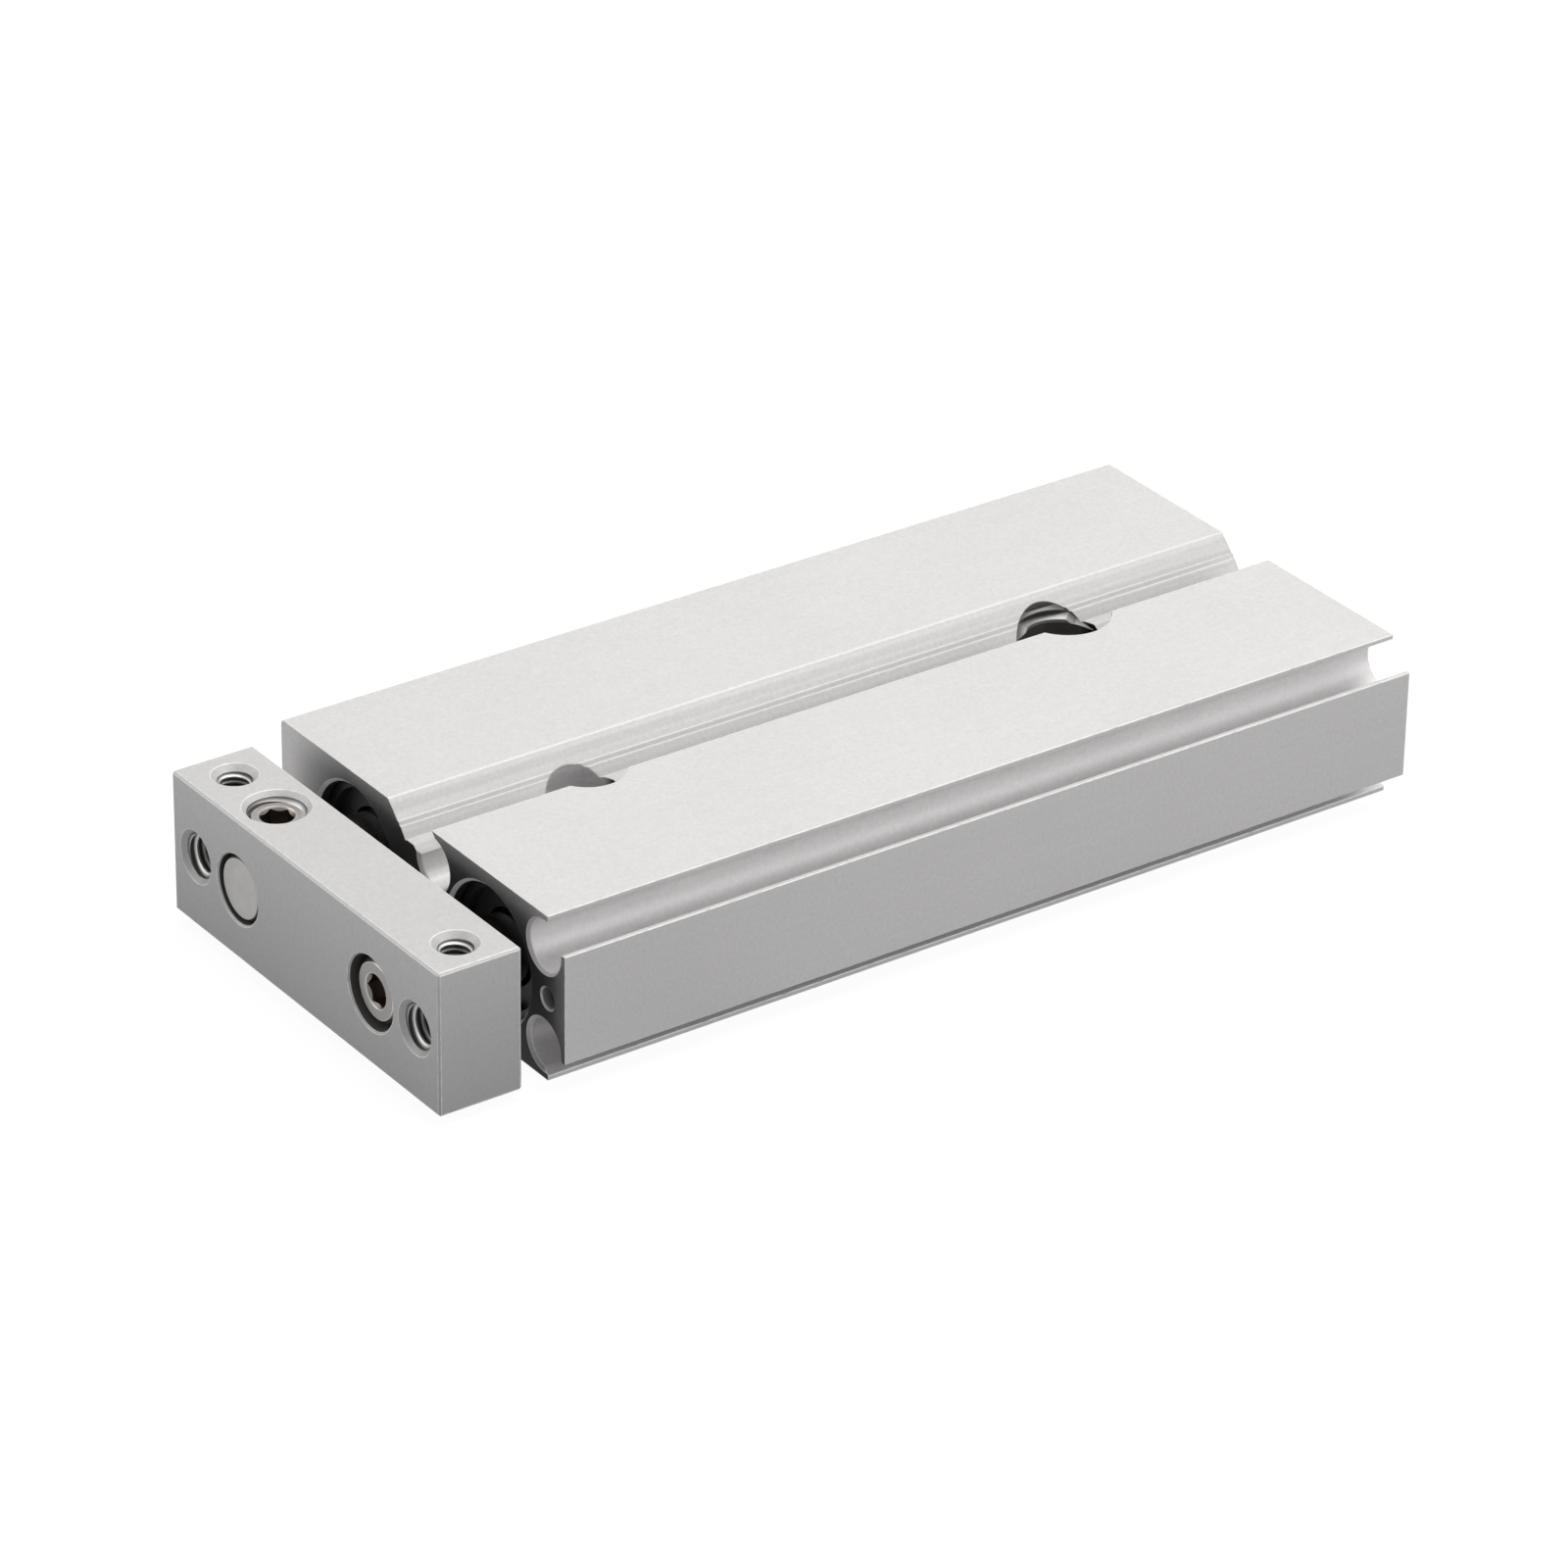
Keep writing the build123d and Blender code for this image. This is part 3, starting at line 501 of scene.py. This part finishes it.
# %% The block's and the plate's finish
ANODISED = (0.675, 0.66, 0.666, 1)
PLATE_GREY = (0.61, 0.597, 0.602, 1)
EDGE_WEAR_AND_HIGHLIGHT = grey(0.95, 0.004)
BORE_PAINTED_SHADE = grey(0.012)
SPARKLE_SCALE = 3000
CLOUD_SCALE = 90
LINE_SCALE = 2600
STREAK_SCALE = 1500
WEAR_SCALE = 1100
ALONG_LINES = (0.02, 1, 1)
ALONG_STREAKS = (0.004, 1, 1)
CHANNEL_HALF = 3.1 * MM
CHANNEL_FADE = 0.2 * MM
UNBRIGHTENED_HALF = 2.6 * MM
GROOVE_PAINTED_LIGHT = 1.18
GAP_DARKER = 0.05
SHINE = 0.5
GAP_SHINE = 0.1


def channel_streaks(tree, place, away):
    # The die's streaks are strongest in the channel
    lengthwise = math_node(tree, "SUBTRACT", 1.0, on_end_faces(tree))
    in_channel = step_up(tree, away, CHANNEL_HALF + CHANNEL_FADE, CHANNEL_HALF)
    in_channel = math_node(tree, "MULTIPLY", in_channel, lengthwise)
    streaks = spread(tree, noise(tree, place, STREAK_SCALE, 1.0, ALONG_STREAKS), -0.3, 0.12)
    return math_node(tree, "MULTIPLY", in_channel, streaks)


def aluminium(name, colour, holes, edge_width, low_shade, is_block):
    material, tree, output, place = new_finish(name)
    parts = split(tree, place)
    sparkle = noise(tree, place, SPARKLE_SCALE, 1.0)
    cloud = noise(tree, place, CLOUD_SCALE, 3.0)
    lines = spread(tree, noise(tree, place, LINE_SCALE, 1.0, ALONG_LINES), -0.02, 0.02)
    grain = (spread(tree, sparkle, 0.9, 1.1), spread(tree, cloud, -0.03, 0.03), lines)
    brightness = combined(tree, "ADD", grain)
    softened = softened_normal(tree, edge_width)
    edges = edge_mask(tree, softened)
    if is_block:
        away = math_node(tree, "ABSOLUTE", math_node(tree, "SUBTRACT", parts["Y"], CHANNEL_MID_Y))
        brightness = math_node(tree, "ADD", brightness, channel_streaks(tree, place, away))
        # The channel's small steps get no worn edges and no painted highlight
        edges_brightened = step_up(tree, away, UNBRIGHTENED_HALF, CHANNEL_HALF)
        edges = math_node(tree, "MULTIPLY", edges, edges_brightened)
    shade = side_shade(tree, parts["Z"], low_shade)
    brightness = math_node(tree, "MULTIPLY", brightness, shade)
    base = scaled(tree, colour, brightness)
    if is_block:
        # Painted light on the groove walls
        base = mixed(tree, inside_grooves(tree, parts), base, scaled(tree, base, GROOVE_PAINTED_LIGHT))
    # Sharp edges worn bright in patches, with a painted highlight
    worn_and_lit = step_up(tree, noise(tree, place, WEAR_SCALE), 0.22, 0.5)
    base = mixed(tree, math_node(tree, "MULTIPLY", edges, worn_and_lit), base, EDGE_WEAR_AND_HIGHLIGHT)
    base = painted_shade_in_holes(tree, parts, base, holes)
    shine = SHINE
    if is_block:
        # Painted shade, near black, inside the bores
        base = mixed(tree, inside_bores(tree, parts), base, BORE_PAINTED_SHADE)
        # Painted shade on the end faces deep in the gap behind the plate
        closed = end_face_shade(tree, parts)
        base = mixed(tree, closed, base, scaled(tree, base, GAP_DARKER))
        shine = spread(tree, closed, SHINE, GAP_SHINE)
    rough = (spread(tree, sparkle, 0.48, 0.58), spread(tree, cloud, -0.02, 0.02))
    rough = combined(tree, "ADD", rough)
    normal = roughened(tree, sparkle, 0.12, 0.02 * MM, Normal=softened)
    shader(tree, output, base, 0.3, rough, Normal=normal, **{"Specular IOR Level": shine})
    return material


block_finish = aluminium("block_anodised", ANODISED, BLOCK_HOLES, 0.18 * MM, 0.95, True)
plate_finish = aluminium("plate_anodised", PLATE_GREY, PLATE_HOLES, 0.13 * MM, 0.66, False)
print("aluminium ready")

# %% [markdown]
# ## Steel, black and rubber parts
# The screws are turned stainless steel, and their sockets are dark brown inside. The rods are
# ground and polished, with a matt cut end. The rest sits in the dark of the bores.

# %% Recipes for the small finishes
STEEL_EDGE_HIGHLIGHT = grey(0.8, 0.01)
STEEL_EDGE_WIDTH = 0.08 * MM
SOCKET_BROWN = (0.17, 0.145, 0.13, 1)
SOCKET_RADIUS = 1.5 * MM
SOCKET_WALL = 0.05 * MM
SOCKET_FADE = 0.15 * MM
CLOUD_SHARE = 12

# axis, first and second are as in Hole, start is where along the axis the socket begins and outward
# its way out
Socket = namedtuple("Socket", "axis first second start outward")


def socket_inside(tree, parts, socket):
    # 1 on the walls and floor of a screw's hexagon socket
    away = distance_from_line(tree, parts, socket.axis, socket.first, socket.second)
    inside = step_up(tree, away, SOCKET_RADIUS, SOCKET_RADIUS - SOCKET_WALL)
    along = parts[socket.axis]
    deep = step_up(tree, along, socket.start, socket.start - socket.outward * SOCKET_FADE)
    return math_node(tree, "MULTIPLY", inside, deep)


def turned_steel(name, colour, roughness, socket=None):
    material, tree, output, place = new_finish(name)
    grain = noise(tree, place, 3800)
    base = scaled(tree, colour, spread(tree, noise(tree, place, 420), 0.86, 1.12))
    edges = edge_mask(tree, softened_normal(tree, STEEL_EDGE_WIDTH))
    # Painted highlight on the sharp edges
    base = mixed(tree, edges, base, STEEL_EDGE_HIGHLIGHT)
    if socket:
        # Dark brown inside the socket
        base = mixed(tree, socket_inside(tree, split(tree, place), socket), base, SOCKET_BROWN)
    rough = spread(tree, grain, roughness - 0.06, roughness + 0.08)
    shader(tree, output, base, 1.0, rough, Normal=roughened(tree, grain, 0.15, 0.01 * MM))
    return material


def matt(name, colour, roughness, scale=2500, metallic=0.0):
    material, tree, output, place = new_finish(name)
    grain = noise(tree, place, scale)
    cloud = noise(tree, place, scale / CLOUD_SHARE)
    patterns = (spread(tree, grain, 0.88, 1.08), spread(tree, cloud, -0.06, 0.06))
    brightness = combined(tree, "ADD", patterns)
    rough = spread(tree, grain, roughness - 0.06, roughness + 0.06)
    base = scaled(tree, colour, brightness)
    shader(tree, output, base, metallic, rough, Normal=roughened(tree, grain, 0.2, 0.02 * MM))
    return material


def cut_rod_end(end_x):
    # Polished along the rod, matt where it was sawn and faced, dark on the chamfer round that face
    material, tree, output, place = new_finish("rod_with_cut_end")
    parts = split(tree, place)
    end = step_up(tree, parts["X"], end_x - 0.5 * MM, end_x - 0.4 * MM)
    away = distance_from_line(tree, parts, "X", -BORE_Y, 0)
    face = step_up(tree, away, 2.66 * MM, 2.6 * MM)
    cloud = noise(tree, place, 900, 3.0)
    grain = noise(tree, place, 6000, 1.0)
    cut = scaled(tree, grey(0.36, 0.015), spread(tree, cloud, 0.85, 1.15))
    base = mixed(tree, end, ROD_STEEL, mixed(tree, face, grey(0.06, 0.02), cut))
    rough = mixed(tree, end, grey(0.2), grey(0.45))
    shader(tree, output, base, 0.9, rough, Normal=roughened(tree, grain, 0.2, 0.01 * MM))
    return material


print("recipes ready")

# %% [markdown]
# ## Dress every solid
# Each solid gets one material. Pieces that come in pairs, one in each bore, share theirs.

# %% Give each solid its finish
STEEL = grey(0.36, 0.03)
DULL_STEEL = grey(0.24, 0.03)
ROD_STEEL = grey(0.62, 0.004)


def dress(material, *names):
    for name in names:
        mesh = nodes[name].data
        mesh.materials.clear()
        mesh.materials.append(material)


def both(name):
    return f"{name}_left", f"{name}_right"


set_head_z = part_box("plate_set_screw")[1].z
cap_socket = Socket("X", BORE_Y, 0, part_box("plate_cap_screw")[1].x, 1)
set_socket = Socket("Z", PLATE_MID_X, -BORE_Y, set_head_z, 1)
adjuster_socket = Socket("X", -BORE_Y, 0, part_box("adjusting_screw")[0].x, -1)

dress(block_finish, "housing")
dress(matt("cover_anodised", grey(0.6, 0.01), 0.45, metallic=0.4), *both("head_cover"))
dress(plate_finish, "rod_plate")
dress(turned_steel("cap_screw_steel", DULL_STEEL, 0.3, cap_socket), "plate_cap_screw")
dress(turned_steel("set_screw_steel", STEEL, 0.28, set_socket), "plate_set_screw")
adjuster_steel = turned_steel("adjuster_steel", STEEL, 0.3, adjuster_socket)
dress(adjuster_steel, "adjusting_screw", "adjuster_lock_nut")
dress(turned_steel("plug_steel", grey(0.4, 0.02), 0.35), "axial_port_plug")
dress(turned_steel("rod_steel", ROD_STEEL, 0.2), "piston_rod_right", "passage_ball")
spring_steel = matt("spring_steel_black", grey(0.03), 0.4, metallic=0.6)
dress(spring_steel, *both("front_retaining_ring"), *both("rear_retaining_ring"))
dress(matt("retainer_black", grey(0.02), 0.45, metallic=0.5), *both("seal_retainer"))
dress(matt("cover_black", grey(0.012), 0.5, metallic=0.3), *both("rod_cover"))
dress(matt("turned_aluminium", grey(0.6), 0.35, metallic=0.9), *both("piston"))
dress(matt("rubber_black", grey(0.015), 0.7), *both("rod_seal"), *both("rod_cover_o_ring"))
dress(matt("rubber_black_inner", grey(0.015), 0.7), *both("head_cover_o_ring"), *both("piston_seal"))
urethane = matt("urethane_amber", (0.45, 0.27, 0.07, 1), 0.5)
dress(urethane, *both("front_bumper"), "rear_bumper_right", "adjuster_bumper")
dress(matt("wear_ring_plastic", (0.62, 0.6, 0.54, 1), 0.55), *both("wear_ring"))
dress(matt("bonded_magnet", (0.05, 0.04, 0.035, 1), 0.65), "piston_magnet")
dress(cut_rod_end(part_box("piston_rod_left")[1].x), "piston_rod_left")


def is_dressed(node):
    materials = node.data.materials
    return len(materials) == 1 and materials[0].use_nodes


print("still to dress:", [name for name, node in nodes.items() if not is_dressed(node)])

# %% [markdown]
# ## Threads
# The solids have plain holes of the thread's outer radius. A real thread is a V-shaped ridge that
# climbs round the wall. One ridge section, spun round the hole's axis while it moves along it,
# makes the whole thread. It could be a stack of rings, but then the ends would not run out as a
# cut thread does.

# %% Spin a thread ridge
ROOT_SINK = 0.02 * MM
RIDGE_DEPTH = 0.54
ROOT_HALF = 0.44
CREST_HALF = 0.12
MERGE_SHARE = 0.1


def thread_ridge(outer_radius, pitch, length, countersink, steps_per_turn=48):
    # Made about the Z axis, going down from the hole's mouth at z = 0
    root_half = ROOT_HALF * pitch
    crest_half = CREST_HALF * pitch
    turns = (length - 2 * root_half - 2 * ROOT_SINK) / pitch
    top = -root_half - ROOT_SINK
    root = outer_radius + ROOT_SINK
    crest = outer_radius - RIDGE_DEPTH * pitch
    bm = bmesh.new()
    section = [
        bm.verts.new((root, 0, top + root_half)),
        bm.verts.new((crest, 0, top + crest_half)),
        bm.verts.new((crest, 0, top - crest_half)),
        bm.verts.new((root, 0, top - root_half)),
    ]
    face = bm.faces.new(section)
    bmesh.ops.spin(
        bm, geom=[face] + list(face.edges) + section, cent=(0, 0, 0), axis=(0, 0, -1),
        dvec=(0, 0, -pitch / steps_per_turn), angle=2 * math.pi * turns,
        steps=int(turns * steps_per_turn), use_merge=False,
    )
    bmesh.ops.remove_doubles(bm, verts=bm.verts, dist=MERGE_SHARE * pitch / steps_per_turn)
    for vert in bm.verts:
        # The countersink takes the first turn's crest away
        radius = vert.co.to_2d().length
        cone = outer_radius + countersink + vert.co.z
        if radius < cone:
            grown = (cone + ROOT_SINK) / radius
            vert.co.x *= grown
            vert.co.y *= grown
    return bm


def finish_piece(bm, name, material, body, slot):
    bmesh.ops.recalc_face_normals(bm, faces=bm.faces)
    mesh = bpy.data.meshes.new(name)
    bm.to_mesh(mesh)
    bm.free()
    mesh.materials.append(material)
    piece = bpy.data.objects.new(name, mesh)
    bpy.context.scene.collection.objects.link(piece)
    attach(piece, body)


def place_along(bm, mouth, outward):
    # Turns a thread made about Z so that it goes into a hole, away from outward
    turn = Vector((0, 0, 1)).rotation_difference(Vector(outward)).to_matrix().to_4x4()
    bm.transform(Matrix.Translation(mouth) @ turn)


def add_thread(name, mouth, outward, ridge, carrier):
    # ridge is the outer radius, the pitch, the length and the countersink; carrier what it belongs to
    bm = thread_ridge(*ridge)
    place_along(bm, Vector(mouth), outward)
    finish_piece(bm, name, *carrier)


print("thread maker ready")

# %% [markdown]
# ## The threads' finish
# A cut thread is bright on its crests and gets a painted shade in its roots. The painted shade
# grows further into the hole. The roots are found by their distance from the hole's line.

# %% Bright crests, dark roots
ROOT_FROM = 0.87
ROOT_FULLY = 0.96
ROOT_UNTIL = 1.05
ROOT_GONE = 1.1


def thread_root(tree, parts, hole):
    # 1 in the roots of one hole's thread
    away = distance_from_line(tree, parts, hole.axis, hole.first, hole.second)
    root = step_up(tree, away, ROOT_FROM * hole.radius, ROOT_FULLY * hole.radius)
    this_hole = step_up(tree, away, ROOT_GONE * hole.radius, ROOT_UNTIL * hole.radius)
    return math_node(tree, "MULTIPLY", root, this_hole)


def thread_finish(name, brightness, holes):
    material, tree, output, place = new_finish(name)
    parts = split(tree, place)
    grain = noise(tree, place, 3000)
    base = scaled(tree, grey(brightness, 0.01), spread(tree, grain, 0.85, 1.1))
    roots = combined(tree, "MAXIMUM", [thread_root(tree, parts, hole) for hole in holes])
    # Painted shade in the roots of the thread
    base = mixed(tree, roots, base, HOLE_PAINTED_SHADE)
    base = painted_shade_in_holes(tree, parts, base, holes)
    shader(tree, output, base, 0.55, spread(tree, grain, 0.3, 0.45))
    return material


PLATE_THREADS = [set_screw_hole(1.0, 2.0), *front_holes(1.4, 2.4), *top_holes(0.8, 1.6)]
BLOCK_THREADS = [rear_hole(2.2, 1.4), *port_holes(1.0, 2.0)]
ON_PLATE = (thread_finish("plate_thread", 0.72, PLATE_THREADS), "rods", "plate_aluminium")
# The block's threads are painted darker than the block and the plate's threads, as shade in its holes
ON_BLOCK = (thread_finish("block_thread", 0.34, BLOCK_THREADS), "block", "anodised_aluminium")
print("thread finishes ready")

# %% [markdown]
# ## Threads in the round holes
# The plate's threads ride with the rods, and the ports' stay with the block. The one above the set
# screw goes a little past the screw's end, so no gap shows between them.

# %% Add the whole threads
TOP_THREAD_LENGTH = 4 * MM
PORT_THREAD_LENGTH = 4 * MM
front_ridge = (M4_RADIUS, M4_PITCH, PLATE_THICKNESS, 0.4 * MM)
top_ridge = (M3_RADIUS, M3_PITCH, TOP_THREAD_LENGTH, 0.5 * MM)
port_ridge = (M5_RADIUS, M5_PITCH, PORT_THREAD_LENGTH, 0.3 * MM)
set_screw_ridge = (M5_RADIUS, M5_PITCH, PLATE_TOP_Z - set_head_z + 1.5 * M5_PITCH, 0.4 * MM)
for side, y in (("left", -PLATE_THREAD_Y), ("right", PLATE_THREAD_Y)):
    add_thread(f"front_thread_{side}", (PLATE_FRONT_X, y, 0), (1, 0, 0), front_ridge, ON_PLATE)
    add_thread(f"top_thread_{side}", (PLATE_MID_X, y, PLATE_TOP_Z), (0, 0, 1), top_ridge, ON_PLATE)
for name, x in (("front", PORT_FRONT_X), ("rear", PORT_REAR_X)):
    add_thread(f"port_thread_{name}", (x, -SIDE_Y, 0), (0, -1, 0), port_ridge, ON_BLOCK)
set_screw_mouth = (PLATE_MID_X, -BORE_Y, PLATE_TOP_Z)
add_thread("set_screw_thread", set_screw_mouth, (0, 0, 1), set_screw_ridge, ON_PLATE)
print("threads added")

# %% [markdown]
# ## The large thread in the rear hole
# The rear hole's pocket breaks out into the channel, so its M8 thread isn't whole: where the
# channel has taken the wall away, there is no thread either. The ridge is spun as before, and the
# parts above the channel's slope or without a wall behind them are cut off. A ray from the axis
# finds where the wall is.

# %% Keep the ridge only where the block has a wall
SLOPE_TOP = Vector((0, -4.66 * MM, TOP_Z))
SLOPE_NORMAL = Vector((0, 2.75, 2.56)).normalized()
SLOPE_FOOT_Y = -2.1 * MM
CUT_PLACE = SLOPE_TOP - SLOPE_NORMAL * 0.03 * MM
CUT_TOLERANCE = 0.001 * MM
FIRST_TURN_Z = 6.45 * MM
POCKET_DEPTH = 4 * MM
STARTS_AT = math.radians(54)
FINE_STEPS = 96
WALL_TOLERANCE = 0.1 * MM


def mesh_tree(mesh):
    bm = bmesh.new()
    bm.from_mesh(mesh)
    tree = BVHTree.FromBMesh(bm)
    bm.free()
    return tree


def has_wall_behind(tree, point):
    centre = Vector((-BOLT_HOLE_X, 0, point.z))
    hit, _, _, distance = tree.ray_cast(centre, (point - centre).normalized())
    return hit is not None and abs(distance - M8_RADIUS) < WALL_TOLERANCE


def is_open(tree, point):
    # In the channel, on the worn first turn or with no wall to sit on
    above_cut = (point - CUT_PLACE).dot(SLOPE_NORMAL) > CUT_TOLERANCE
    in_channel = point.y < SLOPE_FOOT_Y and above_cut
    worn_off = point.y < 0 and point.z > FIRST_TURN_Z
    return in_channel or worn_off or not has_wall_behind(tree, point)


housing_tree = mesh_tree(nodes["housing"].data)
bm = thread_ridge(M8_RADIUS, M8_PITCH, POCKET_DEPTH, 0, FINE_STEPS)
bm.transform(Matrix.Rotation(STARTS_AT, 4, "Z"))
place_along(bm, Vector((-BOLT_HOLE_X, 0, TOP_Z)), (0, 0, 1))
bmesh.ops.bisect_plane(
    bm, geom=list(bm.verts) + list(bm.edges) + list(bm.faces),
    plane_co=CUT_PLACE, plane_no=SLOPE_NORMAL,
)
open_verts = [vert for vert in bm.verts if is_open(housing_tree, vert.co)]
bmesh.ops.delete(bm, geom=open_verts, context="VERTS")
loose_ends = [edge for edge in bm.edges if len(edge.link_faces) == 1]
bmesh.ops.holes_fill(bm, edges=loose_ends, sides=0)
print("kept", len(bm.verts), "corners, cut", len(open_verts))
finish_piece(bm, "rear_hole_thread", *ON_BLOCK)
